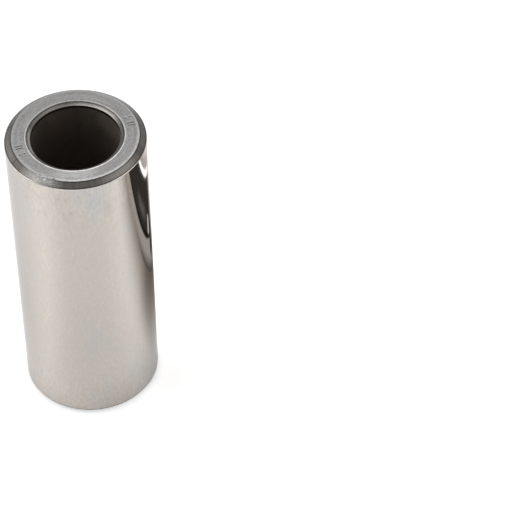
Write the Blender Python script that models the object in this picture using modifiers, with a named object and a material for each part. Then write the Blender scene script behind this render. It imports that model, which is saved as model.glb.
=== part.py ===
"""A hollow gudgeon pin: the ground steel tube that joins a piston to its connecting rod.

The pin stands on one end. Its axis is +Z, and the origin is the centre of its lower end face.
It is one turned piece, so the model is one closed section swept once around the axis.
"""

import math

import bpy
from mathutils import Vector

MM = 0.001

# Driving sizes of the tube.
OUTER_DIAMETER = 22.0 * MM
WALL = 4.0 * MM
LENGTH = 54.0 * MM

# Lead-in outside each end: how far it cuts in from the outside, and how far it runs along the pin.
LEAD_IN_WIDTH = 1.1 * MM
LEAD_IN_RUN = 0.85 * MM

# Countersink at each mouth of the bore: how far it widens the bore, and how deep it goes.
MOUTH_WIDTH = 0.6 * MM
MOUTH_DEPTH = 0.45 * MM

# Blend radii that polishing leaves where two turned surfaces meet.
SHOULDER_BLEND = 0.3 * MM
FACE_EDGE_BLEND = 0.2 * MM
MOUTH_BLEND = 0.2 * MM
BORE_EDGE_BLEND = 0.15 * MM

# A blend may use up this share of the shorter of the two stretches that it joins.
BLEND_SHARE = 0.45

# Fineness of the facets.
FACETS_AROUND = 96
ARC_FACET = math.radians(20.0)
MERGE_DISTANCE = 0.001 * MM

# Finish of the steel.
STEEL_COLOUR = (0.62, 0.60, 0.57, 1.0)
STEEL_ROUGHNESS = 0.12
STEEL_METALLIC = 1.0


def clear_scene():
    """Remove every object of the scene that is open."""
    for old in list(bpy.data.objects):
        bpy.data.objects.remove(old)


def ground_steel():
    """The one material of the pin: bare, superfinished case-hardened steel."""
    material = bpy.data.materials.new("ground_steel")
    material.use_nodes = True
    shader = material.node_tree.nodes["Principled BSDF"]
    shader.inputs["Base Color"].default_value = STEEL_COLOUR
    shader.inputs["Roughness"].default_value = STEEL_ROUGHNESS
    shader.inputs["Metallic"].default_value = STEEL_METALLIC
    return material


def end_corners():
    """Corners of the lower end from the outside to the bore, each as (radius, height, blend radius)."""
    outer = OUTER_DIAMETER / 2
    bore = outer - WALL
    return [
        (outer, LEAD_IN_RUN, SHOULDER_BLEND),
        (outer - LEAD_IN_WIDTH, 0.0, FACE_EDGE_BLEND),
        (bore + MOUTH_WIDTH, 0.0, MOUTH_BLEND),
        (bore, MOUTH_DEPTH, BORE_EDGE_BLEND),
    ]


def section_corners():
    """Corners of the whole section, down the outside, in along the foot, up the bore and out along the top."""
    lower = end_corners()
    upper = [(radius, LENGTH - height, blend) for radius, height, blend in reversed(lower)]
    return lower + upper


def corner_arc(before, corner, after, blend):
    """Points of the arc that rounds one corner and is tangent to the stretches on both sides of it."""
    way_in = corner - before
    way_out = after - corner
    turn = way_in.angle(way_out)
    reach = math.tan(turn / 2)
    radius = min(blend, BLEND_SHARE * min(way_in.length, way_out.length) / reach)
    start = corner - way_in.normalized() * radius * reach
    end = corner + way_out.normalized() * radius * reach
    inward = ((before - corner).normalized() + (after - corner).normalized()).normalized()
    centre = corner + inward * radius / math.cos(turn / 2)
    count = max(1, math.ceil(turn / ARC_FACET))
    first = start - centre
    last = end - centre
    points = []
    for step in range(count + 1):
        share = step / count
        weight_first = math.sin((1 - share) * turn) / math.sin(turn)
        weight_last = math.sin(share * turn) / math.sin(turn)
        points.append(centre + first * weight_first + last * weight_last)
    return points


def section_points():
    """The closed section with its corners blended, as points of (radius, height)."""
    corners = section_corners()
    places = [Vector((radius, height)) for radius, height, _ in corners]
    points = []
    for index, (_, _, blend) in enumerate(corners):
        before = places[index - 1]
        after = places[(index + 1) % len(places)]
        points += corner_arc(before, places[index], after, blend)
    return points


def turned(name, section):
    """An object made by sweeping a closed section of (radius, height) points once around Z."""
    mesh = bpy.data.meshes.new(name)
    points = [(point.x, 0.0, point.y) for point in section]
    edges = [(index, (index + 1) % len(points)) for index in range(len(points))]
    mesh.from_pydata(points, edges, [])
    turned_object = bpy.data.objects.new(name, mesh)
    sweep = turned_object.modifiers.new("sweep", "SCREW")
    sweep.axis = "Z"
    sweep.angle = 2 * math.pi
    sweep.steps = FACETS_AROUND
    sweep.render_steps = FACETS_AROUND
    sweep.use_merge_vertices = True
    sweep.merge_threshold = MERGE_DISTANCE
    sweep.use_smooth_shade = True
    shading = turned_object.modifiers.new("flat faces stay flat", "WEIGHTED_NORMAL")
    shading.mode = "FACE_AREA"
    return turned_object


def build():
    """Make the pin in a collection of its own."""
    clear_scene()
    collection = bpy.data.collections.new("gudgeon_pin")
    bpy.context.scene.collection.children.link(collection)
    pin = turned("gudgeon_pin", section_points())
    pin.data.materials.append(ground_steel())
    collection.objects.link(pin)


build()
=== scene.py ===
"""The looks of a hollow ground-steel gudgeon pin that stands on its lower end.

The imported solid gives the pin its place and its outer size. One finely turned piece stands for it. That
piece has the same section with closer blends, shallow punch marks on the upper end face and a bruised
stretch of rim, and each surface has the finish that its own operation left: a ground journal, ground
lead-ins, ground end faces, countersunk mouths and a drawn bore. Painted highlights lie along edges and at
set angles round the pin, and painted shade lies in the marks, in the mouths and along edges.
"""

import logging
import math
from dataclasses import dataclass, field, replace
from enum import Enum
from typing import Any, Mapping, Optional, Sequence, Union

import bpy
import numpy as np
from mathutils import Euler, Matrix, Vector


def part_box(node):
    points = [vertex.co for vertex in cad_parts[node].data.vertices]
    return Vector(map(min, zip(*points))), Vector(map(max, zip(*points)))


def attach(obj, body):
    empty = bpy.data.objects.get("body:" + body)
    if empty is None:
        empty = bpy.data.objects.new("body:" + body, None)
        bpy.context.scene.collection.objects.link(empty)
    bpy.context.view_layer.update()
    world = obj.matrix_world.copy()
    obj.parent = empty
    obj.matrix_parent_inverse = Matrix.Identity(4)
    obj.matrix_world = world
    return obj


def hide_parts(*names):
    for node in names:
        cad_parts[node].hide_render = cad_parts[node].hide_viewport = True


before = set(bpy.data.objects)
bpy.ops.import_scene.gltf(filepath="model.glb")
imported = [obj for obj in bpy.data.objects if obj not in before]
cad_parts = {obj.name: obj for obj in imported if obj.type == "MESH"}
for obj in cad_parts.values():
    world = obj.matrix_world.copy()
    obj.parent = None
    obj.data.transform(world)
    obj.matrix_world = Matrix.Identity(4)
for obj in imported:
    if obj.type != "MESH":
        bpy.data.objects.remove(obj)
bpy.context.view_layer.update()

LOG = logging.getLogger("gudgeon_pin")
NODE = "gudgeon_pin"
MM = 0.001
MICRON = 0.000001
MM_TO_A_METRE = 1000.0

Colour = tuple[float, float, float]
Pair = tuple[float, float]

# Steel lightens less than the shader's default where it is seen at a slant.
EDGE_TINT: Colour = (0.765, 0.76, 0.765)

# A normal whose height is above this belongs to a flat end face.
FLAT = 0.999


def grey(tone: float, warmth: float = 0.0) -> Colour:
    """A nearly neutral colour.

    Args:
        tone: How light the colour is, from 0 to 1, as linear light.
        warmth: How far red rises above the tone and blue falls below it, as a share of the tone.

    Returns:
        The colour as red, green and blue.
    """
    return (tone * (1 + warmth), tone, tone * (1 - warmth))


class Signal:
    """A number, colour or vector on its way between nodes. Arithmetic on numbers adds Math nodes."""

    def __init__(self, graph: "ShaderGraph", socket: bpy.types.NodeSocket) -> None:
        """Wrap an output socket.

        Args:
            graph: The graph that the socket's node is in.
            socket: The output socket.
        """
        self.graph = graph
        self.socket = socket

    def output(self, name: Union[str, int]) -> "Signal":
        """Another output of the same node."""
        return Signal(self.graph, self.socket.node.outputs[name])

    def __add__(self, other: "Value") -> "Signal":
        """This number plus another."""
        return self.graph.math("ADD", self, other)

    def __radd__(self, other: "Value") -> "Signal":
        """Another number plus this one."""
        return self.graph.math("ADD", other, self)

    def __sub__(self, other: "Value") -> "Signal":
        """This number less another."""
        return self.graph.math("SUBTRACT", self, other)

    def __rsub__(self, other: "Value") -> "Signal":
        """Another number less this one."""
        return self.graph.math("SUBTRACT", other, self)

    def __mul__(self, other: "Value") -> "Signal":
        """This number times another."""
        return self.graph.math("MULTIPLY", self, other)

    def __rmul__(self, other: "Value") -> "Signal":
        """Another number times this one."""
        return self.graph.math("MULTIPLY", other, self)

    def __truediv__(self, other: "Value") -> "Signal":
        """This number over another."""
        return self.graph.math("DIVIDE", self, other)

    def clamped(self) -> "Signal":
        """This number held between 0 and 1."""
        return self.between(0.0, 1.0, smooth=False)

    def between(self, low: float, high: float, smooth: bool = True) -> "Signal":
        """This number mapped so that low gives 0 and high gives 1, and held there.

        Args:
            low: The number that gives 0. It may lie above high, which turns the map round.
            high: The number that gives 1.
            smooth: Whether the map eases in and out.

        Returns:
            The mapped number.
        """
        settings = {"interpolation_type": "SMOOTHSTEP" if smooth else "LINEAR"}
        sockets = {"Value": self, "From Min": low, "From Max": high, "To Min": 0.0, "To Max": 1.0}
        return self.graph.node("ShaderNodeMapRange", settings, sockets)

    def scaled(self, factor: float) -> "Signal":
        """This vector times a number."""
        return self.graph.node("ShaderNodeVectorMath", {"operation": "SCALE"}, {0: self, "Scale": factor})

    def stretched(self, x: float, y: float, z: float) -> "Signal":
        """This vector with a factor for each direction."""
        return self.graph.node("ShaderNodeVectorMath", {"operation": "MULTIPLY"}, {0: self, 1: (x, y, z)})

    def raised(self, rise: float) -> "Signal":
        """This vector with a number added to its height."""
        return self.graph.node("ShaderNodeVectorMath", {"operation": "ADD"}, {0: self, 1: (0.0, 0.0, rise)})

    def turned(self, angle: "Value") -> "Signal":
        """This vector turned about the pin's axis, by an angle in radians."""
        settings = {"rotation_type": "Z_AXIS"}
        return self.graph.node("ShaderNodeVectorRotate", settings, {"Vector": self, "Angle": angle})


Value = Union[Signal, float]


class ShaderGraph:
    """The nodes of one material or world, built from Python expressions."""

    def __init__(self, tree: bpy.types.NodeTree) -> None:
        """Start from an empty tree.

        Args:
            tree: The node tree to fill.
        """
        self.tree = tree
        self.tree.nodes.clear()

    def node(self, kind: str, settings: Mapping[str, Any], sockets: Mapping[Any, Any],
             output: Union[str, int] = 0) -> Signal:
        """Add a node, set it, then fill or link its sockets.

        Args:
            kind: The node's type, such as "ShaderNodeMath".
            settings: The node's own properties.
            sockets: A number, colour, vector or Signal for each input, by name or index.
            output: The output to hand back, by name or index.

        Returns:
            The chosen output.
        """
        made = self.tree.nodes.new(kind)
        for name, value in settings.items():
            setattr(made, name, value)
        for name, value in sockets.items():
            self._fill(made.inputs[name], value)
        return Signal(self, made.outputs[output] if made.outputs else None)

    def _fill(self, socket: bpy.types.NodeSocket, value: Any) -> None:
        """Link a Signal to an input, or write a plain value there.

        Args:
            socket: The input socket.
            value: A Signal, a number, a colour or a vector.
        """
        if isinstance(value, Signal):
            self.tree.links.new(value.socket, socket)
        elif isinstance(value, tuple) and socket.type == "RGBA":
            socket.default_value = (*value, 1.0)
        else:
            socket.default_value = value

    def math(self, operation: str, *values: Value) -> Signal:
        """The result of a Math node on the given values."""
        return self.node("ShaderNodeMath", {"operation": operation}, dict(enumerate(values)))

    def mix(self, share: Value, first: Any, second: Any, blend: str = "MIX") -> Signal:
        """Mix two colours.

        Args:
            share: How much of the second colour shows.
            first: The colour underneath.
            second: The colour on top.
            blend: How the two meet, such as "MIX" or "MULTIPLY".

        Returns:
            The mixed colour.
        """
        settings = {"data_type": "RGBA", "blend_type": blend}
        return self.node("ShaderNodeMix", settings, {0: share, 6: first, 7: second}, output=2)

    def attribute(self, carried_number: "WearAndPaintedLight") -> Signal:
        """A number that the mesh carries at each point."""
        settings = {"attribute_type": "GEOMETRY", "attribute_name": carried_number.value}
        return self.node("ShaderNodeAttribute", settings, {}, output="Fac")

    def light_path(self, *rays: str) -> Signal:
        """1 for rays of the named kinds, such as "Is Camera Ray", and 0 for others."""
        path = self.node("ShaderNodeLightPath", {}, {})
        return sum((path.output(ray) for ray in rays[1:]), start=path.output(rays[0])).clamped()

    def combined(self, x: Value, y: Value, z: Value) -> Signal:
        """A vector from three numbers."""
        return self.node("ShaderNodeCombineXYZ", {}, {0: x, 1: y, 2: z})

    def separated(self, vector: Signal) -> tuple[Signal, Signal, Signal]:
        """The three numbers of a vector."""
        x = self.node("ShaderNodeSeparateXYZ", {}, {0: vector})
        return x, x.output("Y"), x.output("Z")

    def length(self, x: Signal, y: Signal) -> Signal:
        """The length of a flat vector."""
        return self.math("SQRT", x * x + y * y)

    def spot(self) -> "Spot":
        """Find the shaded point and where it lies about the object's axis.

        Returns:
            The point, in millimetres from the object's origin.
        """
        place = self.node("ShaderNodeTexCoord", {}, {}, output="Object").scaled(MM_TO_A_METRE)
        x, y, height = self.separated(place)
        flat = place.stretched(1.0, 1.0, 0.0)
        away = self.node("ShaderNodeVectorMath", {"operation": "LENGTH"}, {0: flat}, output="Value")
        direction = self.node("ShaderNodeVectorMath", {"operation": "NORMALIZE"}, {0: flat})
        return Spot(self, place, x, y, height, away, direction)


@dataclass(frozen=True)
class Spot:
    """The shaded point, in millimetres. Its direction from the axis is a flat vector of length 1."""

    graph: ShaderGraph
    place: Signal
    x: Signal
    y: Signal
    height: Signal
    away: Signal
    direction: Signal

    def toward(self, angle: float) -> Signal:
        """How far the point lies toward an angle about the axis.

        Args:
            angle: The angle in degrees.

        Returns:
            The cosine of the angle between them, from 1 there to -1 opposite.
        """
        turn = math.radians(angle)
        sockets = {0: self.direction, 1: (math.cos(turn), math.sin(turn), 0.0)}
        return self.graph.node("ShaderNodeVectorMath", {"operation": "DOT_PRODUCT"}, sockets, output="Value")

    def round_about(self, to_a_radian: float, across: Signal) -> Signal:
        """A vector that noise is read with where its features lie by their way round the axis.

        Args:
            to_a_radian: How many features there are to one radian of the way round.
            across: The number that counts features the other way.

        Returns:
            The vector.
        """
        x, y, _ = self.graph.separated(self.direction.scaled(to_a_radian))
        return self.graph.combined(x, y, across)


class WearAndPaintedLight(Enum):
    """The numbers that the mesh carries for its materials."""

    # Edge wear and scratches, with painted highlights on edges, on flats beside them, on mark lips and in nicks.
    WORN_AND_HIGHLIT = "worn_and_highlit"
    # Painted shade in the punch marks, in the pit and along edges.
    PAINTED_SHADE = "painted_shade"
    SCUFFED = "scuffed"


@dataclass(frozen=True)
class Grain:
    """Soft noise about 0.5: its features to a unit, its finer layers, their strength, and its stretch."""

    scale: float
    detail: float = 2.0
    roughness: float = 0.5
    stretch: tuple[float, float, float] = (1.0, 1.0, 1.0)

    def read(self, vector: Signal) -> Signal:
        """Read the noise.

        Args:
            vector: Where the noise is read.

        Returns:
            The noise as a number.
        """
        sockets = {"Vector": vector.stretched(*self.stretch), "Scale": self.scale, "Detail": self.detail,
                   "Roughness": self.roughness}
        return vector.graph.node("ShaderNodeTexNoise", {"noise_dimensions": "3D"}, sockets)


@dataclass(frozen=True)
class Layer:
    """A tone laid over a finish by a pattern: none where that is low, and its full strength where that is high."""

    tone: Colour
    low: float
    high: float
    strength: float = 1.0

    def over(self, colour: Any, pattern: Signal, where: Value = 1.0) -> Signal:
        """Lay the tone over a colour.

        Args:
            colour: The colour underneath.
            pattern: The pattern that decides how much of the tone shows.
            where: A further share, such as that of a stretch of the pin.

        Returns:
            The colour with the layer on it.
        """
        share = pattern.between(self.low, self.high) * (where * self.strength)
        return pattern.graph.mix(share, colour, self.tone)


@dataclass(frozen=True)
class PaintedHighlight:
    """A painted highlight: a stretch round the pin where a finish is painted lighter, about an angle in degrees.

    It fades by the cosine of the angle away from there, from the cosine at its ends to the one at its middle.
    """

    angle: float
    tone: Colour
    strength: float
    ends: float = 0.92
    middle: float = 0.99


@dataclass(frozen=True)
class Finish:
    """What every surface of the pin shares: its own tone, painted highlights, knocks, edges with wear and painted
    highlights, and painted shade.
    """

    name: str
    tone: Colour
    roughness: float
    # Painted highlights: stretches round the pin painted lighter.
    painted_highlights: tuple[PaintedHighlight, ...] = ()
    relief: float = 4.0 * MICRON
    scuff_patches: Grain = Grain(2.4, detail=3.0)
    scuff_fade: Pair = (0.25, 0.6)
    scuff_least: float = 0.45
    scuff_more: float = 0.45
    knock_lines: Grain = Grain(1.0, detail=1.0)
    knock_lines_to_a_radian: float = 7.0
    knock_lines_across: float = 4.5
    knock_line_fade: Pair = (0.56, 0.68)
    knock_line_strength: float = 0.42
    # The tone of wear and scratches, which also paints the highlights on edges.
    wear_and_highlight_tone: Colour = grey(0.54, 0.02)
    rubbed_roughness: float = 0.22
    worn_highlight_patches: Grain = Grain(1.6, detail=3.0)
    worn_highlight_fade: Pair = (0.3, 0.62)
    worn_highlight_least: float = 0.6
    # Painted shade in marks, mouths and along edges.
    painted_shade_tone: Colour = grey(0.045, 0.10)
    painted_shade_strength: float = 0.75
    painted_shade_roughness: float = 0.2

    def material(self) -> bpy.types.Material:
        """Make the finish.

        Returns:
            The finish as a material.
        """
        material = bpy.data.materials.new(self.name)
        material.use_nodes = True
        self.dress(ShaderGraph(material.node_tree).spot())
        return material

    def dress(self, spot: Spot) -> None:
        """Fill the material's graph, which the spot belongs to."""
        raise NotImplementedError

    def with_painted_highlights(self, spot: Spot, colour: Any) -> Any:
        """Paint highlights on a finish at its set angles.

        Args:
            spot: The shaded point.
            colour: The colour of the finish.

        Returns:
            The colour with the painted highlights in it.
        """
        for painted_highlight in self.painted_highlights:
            share = spot.toward(painted_highlight.angle).between(painted_highlight.ends, painted_highlight.middle) * painted_highlight.strength
            colour = spot.graph.mix(share, colour, painted_highlight.tone)
        return colour

    def scuffs(self, spot: Spot, colour: Signal, scuff_tone: Colour) -> Signal:
        """Lay knocks over a finish: dull bright patches with fine scratches that run round the pin.

        Args:
            spot: The shaded point.
            colour: The colour of the finish.
            scuff_tone: The colour of the knocked steel.

        Returns:
            The colour with the knocks on it.
        """
        scuffed = spot.graph.attribute(WearAndPaintedLight.SCUFFED)
        patchy = self.scuff_patches.read(spot.place).between(*self.scuff_fade)
        across = (spot.away - spot.height) * self.knock_lines_across
        lines = self.knock_lines.read(spot.round_about(self.knock_lines_to_a_radian, across))
        share = scuffed * (self.scuff_least + self.scuff_more * patchy)
        colour = spot.graph.mix(share.clamped(), colour, scuff_tone)
        share = scuffed * lines.between(*self.knock_line_fade) * self.knock_line_strength
        return spot.graph.mix(share.clamped(), colour, self.wear_and_highlight_tone)

    def end(self, spot: Spot, colour: Signal, roughness: Signal, height: Signal) -> None:
        """Lay edges with wear and painted highlights, and painted shade, over a finish, and end its graph in bare
        metal.

        Args:
            spot: The shaded point.
            colour: The colour of the finish.
            roughness: Its roughness.
            height: The height of its fine relief, from 0 to 1.
        """
        graph = spot.graph
        uneven = self.worn_highlight_patches.read(spot.place).between(*self.worn_highlight_fade)
        bright = graph.attribute(WearAndPaintedLight.WORN_AND_HIGHLIT) * (self.worn_highlight_least + (1 - self.worn_highlight_least) * uneven)
        bright = bright.clamped()
        colour = graph.mix(bright, colour, self.wear_and_highlight_tone)
        roughness = roughness + (self.rubbed_roughness - roughness) * bright
        # Painted shade where the mesh carries it.
        painted_shade = graph.attribute(WearAndPaintedLight.PAINTED_SHADE)
        colour = graph.mix(painted_shade * self.painted_shade_strength, colour, self.painted_shade_tone)
        roughness = roughness + painted_shade * self.painted_shade_roughness
        normal = graph.node("ShaderNodeBump", {}, {"Strength": 1.0, "Distance": self.relief, "Height": height})
        sockets = {"Base Color": colour, "Roughness": roughness, "Metallic": 1.0, "Specular Tint": EDGE_TINT,
                   "Normal": normal}
        surface = graph.node("ShaderNodeBsdfPrincipled", {}, sockets)
        graph.node("ShaderNodeOutputMaterial", {}, {"Surface": surface})


@dataclass(frozen=True)
class GroundJournal(Finish):
    """The superfinished outside: nearly a mirror, with faint clouds, a blue tint, hairlines and a few pits."""

    relief: float = 0.5 * MICRON
    clouds: Grain = Grain(0.16, 5.0, 0.62, (1.0, 1.0, 0.5))
    warmth: Grain = Grain(0.42, 5.0, 0.7, (1.0, 1.0, 0.45))
    smears: Grain = Grain(2.2, 4.0, 0.75, (1.0, 1.0, 0.6))
    grain: Grain = Grain(1.0, 3.0, 0.7, (2.9, 2.9, 1.1))
    cool: Layer = Layer((0.580, 0.575, 0.565), 0.40, 0.66, 0.65)
    warm: Layer = Layer((0.656, 0.592, 0.520), 0.44, 0.66, 0.5)
    smear: Layer = Layer((0.566, 0.535, 0.503), 0.36, 0.66, 0.45)
    stain: Layer = Layer((0.510, 0.460, 0.430), 0.50, 0.68, 0.5)
    stain_rise: Pair = (41.0, 49.0)
    tint: Layer = Layer((0.545, 0.566, 0.580), 0.34, 0.58, 0.75)
    tint_angle: float = 282.0
    tint_spread: Pair = (0.977, 0.997)
    tint_rise: Pair = (45.0, 48.5)
    tint_fall: Pair = (53.2, 51.5)
    grain_contrast: float = 0.17
    handled_contrast: float = 0.20
    handled_rise: Pair = (40.0, 51.0)
    handled_foot: Pair = (16.0, 3.0)
    handled_foot_strength: float = 1.4
    cloud_roughness: float = 0.05
    hairline_grain: Grain = Grain(1.0, detail=1.0, stretch=(7.0, 7.0, 0.16))
    hairline_slants: tuple[float, ...] = (0.004, 0.03, -0.03, -0.05)
    hairline_apart: float = 17.0
    hairline_fade: Pair = (0.70, 0.78)
    hairline_tone: Colour = grey(0.72, 0.03)
    hairline_strength: float = 0.65
    hairline_depth: float = 0.25
    hairline_roughness: float = 0.05
    pits_to_a_mm: float = 0.22
    pit_choice: Pair = (0.55, 0.56)
    pit_edge: Pair = (0.030, 0.018)
    pit_tone: Colour = grey(0.16, 0.10)
    pit_strength: float = 0.8
    pit_roughness: float = 0.3

    def hairlines(self, spot: Spot) -> Signal:
        """Fine scratches that run up the pin, each family at its own slant.

        Args:
            spot: The shaded point.

        Returns:
            How much of a scratch there is, from 0 to 1.
        """
        total: Value = 0.0
        for number, slant in enumerate(self.hairline_slants):
            slid = spot.place.turned(spot.height * slant).raised(self.hairline_apart * number)
            total = total + self.hairline_grain.read(slid).between(*self.hairline_fade)
        return total.clamped()

    def pits(self, spot: Spot) -> Signal:
        """A few tiny dark pits.

        Args:
            spot: The shaded point.

        Returns:
            1 in a pit and 0 elsewhere.
        """
        sockets = {"Vector": spot.place, "Scale": self.pits_to_a_mm}
        cells = spot.graph.node("ShaderNodeTexVoronoi", {}, sockets, output="Distance")
        chosen = spot.graph.node("ShaderNodeSeparateColor", {}, {0: cells.output("Color")})
        return cells.between(*self.pit_edge) * chosen.between(*self.pit_choice)

    def dress(self, spot: Spot) -> None:
        """Fill the material's graph.

        Args:
            spot: The shaded point.
        """
        graph, height = spot.graph, spot.height
        clouds, warmth = self.clouds.read(spot.place), self.warmth.read(spot.place)
        smears, grain = self.smears.read(spot.place), self.grain.read(spot.place)
        hairlines, pits = self.hairlines(spot), self.pits(spot)
        colour = self.cool.over(self.tone, clouds)
        colour = self.warm.over(colour, warmth)
        colour = self.smear.over(colour, smears)
        colour = self.stain.over(colour, warmth, height.between(*self.stain_rise))
        tinted = spot.toward(self.tint_angle).between(*self.tint_spread)
        tinted = tinted * height.between(*self.tint_rise) * height.between(*self.tint_fall)
        colour = self.tint.over(colour, smears, tinted)
        handled = height.between(*self.handled_rise)
        handled = handled + height.between(*self.handled_foot) * self.handled_foot_strength
        contrast = self.grain_contrast + handled * self.handled_contrast
        colour = graph.mix(1.0, colour, 1.0 + (grain - 0.5) * contrast, "MULTIPLY")
        colour = graph.mix(hairlines * self.hairline_strength, colour, self.hairline_tone)
        colour = graph.mix(pits * self.pit_strength, colour, self.pit_tone)
        roughness = self.roughness + clouds * self.cloud_roughness + hairlines * self.hairline_roughness
        roughness = roughness + pits * self.pit_roughness
        self.end(spot, colour, roughness, smears * 0.5 - hairlines * self.hairline_depth - pits)


@dataclass(frozen=True)
class GroundLeadIn(Finish):
    """The lead-ins: ground dull, with painted shade along their edges except toward the far side, painted highlights,
    and fine marks that run across them from edge to edge.
    """

    relief: float = 3.0 * MICRON
    streak_grain: Grain = Grain(1.0, 3.0, 0.65)
    streaks_to_a_radian: float = 130.0
    streak_wander: float = 0.45
    streak: Layer = Layer(grey(0.098, 0.07), 0.25, 0.75)
    streak_contrast: float = 1.1
    streak_roughness: float = 0.12
    patch_grain: Grain = Grain(0.7, detail=3.0)
    patch: Layer = Layer(grey(0.098, 0.07), 0.5, 0.75, 0.3)
    scuff_tone: Colour = grey(0.25, 0.03)
    inner_edge: Pair = (10.18, 10.02)
    outer_edge: Pair = (10.70, 10.86)
    # Painted shade along both edges of the lead-in, left out toward the far side.
    painted_edge_shade_strength: float = 0.7
    painted_edge_shade_tone: Colour = grey(0.022, 0.06)
    edge_shade_free_angle: float = 90.0
    edge_shade_free_spread: Pair = (0.6, 0.0)

    def dress(self, spot: Spot) -> None:
        """Fill the material's graph.

        Args:
            spot: The shaded point.
        """
        graph, away = spot.graph, spot.away
        streaks = self.streak_grain.read(spot.round_about(self.streaks_to_a_radian, away * self.streak_wander))
        patches = self.patch_grain.read(spot.place)
        colour = self.streak.over(self.tone, streaks)
        colour = self.patch.over(colour, patches)
        colour = self.with_painted_highlights(spot, colour)
        colour = graph.mix(1.0, colour, 1.0 + (streaks - 0.5) * self.streak_contrast, "MULTIPLY")
        # Painted shade along the edges.
        edge = away.between(*self.outer_edge) + away.between(*self.inner_edge)
        edge = edge * spot.toward(self.edge_shade_free_angle).between(*self.edge_shade_free_spread)
        colour = graph.mix(edge * self.painted_edge_shade_strength, colour, self.painted_edge_shade_tone)
        colour = self.scuffs(spot, colour, self.scuff_tone)
        roughness = self.roughness + (streaks - 0.5) * self.streak_roughness
        self.end(spot, colour, roughness, streaks + patches * 0.5)


@dataclass(frozen=True)
class TurnedSteel(Finish):
    """A surface that a tool ran round: rings about the axis, crossed by short scratches.

    It may carry painted shade beyond a radius. Its painted highlights are then dim there, and full at a smaller
    radius.
    """

    dark_radius: Optional[float] = None
    light_radius: float = 0.0
    dark_blend: float = 0.06
    dark_strength: float = 0.8
    dim_painted_highlight: float = 0.3
    ring_grain: Grain = Grain(1.0)
    ring_pitch: float = 0.32
    fine_ring_share: float = 0.37
    ring_wander: float = 1.6
    ring_contrast: float = 1.2
    ring_roughness: float = 0.15
    grain: Grain = Grain(3.6, 3.0, 0.7)
    grain_contrast: float = 1.3
    grain_roughness: float = 0.2
    scratch_grain: Grain = Grain(1.0, detail=1.0, stretch=(0.55, 9.0, 1.0))
    scratch_angles: tuple[float, ...] = (12.0, 71.0, 133.0)
    scratch_fade: Pair = (0.66, 0.78)
    scratch_strength: float = 0.35
    scratch_depth: float = 0.4
    scuff_tone: Colour = grey(0.33)

    def rings(self, spot: Spot, pitch: float) -> Signal:
        """Turned rings that wander slowly in strength on their way round.

        Args:
            spot: The shaded point.
            pitch: How far apart the rings are, in millimetres.

        Returns:
            The height of the rings, about 0.5.
        """
        return self.ring_grain.read(spot.round_about(self.ring_wander, (spot.away - spot.height) / pitch))

    def scratches(self, spot: Spot) -> Signal:
        """Short straight handling scratches in several directions.

        Args:
            spot: The shaded point.

        Returns:
            How much of a scratch there is, from 0 to 1.
        """
        total: Value = 0.0
        for angle in self.scratch_angles:
            lines = self.scratch_grain.read(spot.place.turned(math.radians(angle)))
            total = total + lines.between(*self.scratch_fade)
        return total.clamped()

    def ground(self, spot: Spot) -> Any:
        """The tone with its painted highlights, and painted shade beyond the dark radius, before the marks of the
        tool.

        Args:
            spot: The shaded point.

        Returns:
            The colour.
        """
        if self.dark_radius is None:
            return self.with_painted_highlights(spot, self.tone)
        # Painted shade beyond the dark radius.
        dark = spot.away.between(self.dark_radius, self.dark_radius + self.dark_blend) * self.dark_strength
        colour = spot.graph.mix(dark, self.tone, self.painted_shade_tone)
        share = spot.away.between(self.dark_radius, self.light_radius) * (1 - self.dim_painted_highlight)
        return spot.graph.mix(self.dim_painted_highlight + share, colour, self.with_painted_highlights(spot, colour))

    def dress(self, spot: Spot) -> None:
        """Fill the material's graph.

        Args:
            spot: The shaded point.
        """
        graph = spot.graph
        coarse = self.rings(spot, self.ring_pitch)
        fine = self.rings(spot, self.ring_pitch * self.fine_ring_share)
        marks = coarse * 0.6 + fine * 0.4
        grain = self.grain.read(spot.place)
        scratches = self.scratches(spot) * self.scratch_strength
        contrast = 1.0 + (marks - 0.5) * self.ring_contrast + (grain - 0.5) * self.grain_contrast
        colour = graph.mix(1.0, self.ground(spot), contrast, "MULTIPLY")
        colour = graph.mix(scratches, colour, self.scuff_tone)
        colour = self.scuffs(spot, colour, self.scuff_tone)
        roughness = self.roughness + (grain - 0.5) * self.grain_roughness + (marks - 0.5) * self.ring_roughness
        height = coarse * 0.5 + fine * 0.25 + grain * 0.5 - scratches * self.scratch_depth
        self.end(spot, colour, roughness, height)


@dataclass(frozen=True)
class DrawnBore(Finish):
    """The bore as it was drawn: dark heat-treated skin with faint lines along it, a painted highlight, and painted
    shade inside each mouth.
    """

    relief: float = 12.0 * MICRON
    line_grain: Grain = Grain(2.6, detail=3.0, stretch=(1.0, 1.0, 0.10))
    line_turn: float = 0.09
    line: Layer = Layer(grey(0.26, 0.08), 0.45, 0.70, 0.18)
    bloom_grain: Grain = Grain(0.45, 5.0, 0.65)
    bloom: Layer = Layer((0.235, 0.175, 0.130), 0.40, 0.70, 0.6)
    bloom_roughness: float = 0.25
    middle: float = 27.0
    mouth: Pair = (25.95, 26.15)

    def dress(self, spot: Spot) -> None:
        """Fill the material's graph.

        Args:
            spot: The shaded point.
        """
        graph, height = spot.graph, spot.height
        lines = self.line_grain.read(spot.place.turned(height * self.line_turn))
        bloom = self.bloom_grain.read(spot.place)
        colour = self.bloom.over(self.tone, bloom)
        colour = self.line.over(colour, lines)
        colour = self.with_painted_highlights(spot, colour)
        from_middle = graph.math("ABSOLUTE", height - self.middle)
        # Painted shade inside each mouth.
        colour = graph.mix(from_middle.between(*self.mouth), colour, self.painted_shade_tone)
        roughness = self.roughness + (bloom - 0.5) * self.bloom_roughness
        self.end(spot, colour, roughness, lines * 0.5 + bloom * 0.5)


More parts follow.
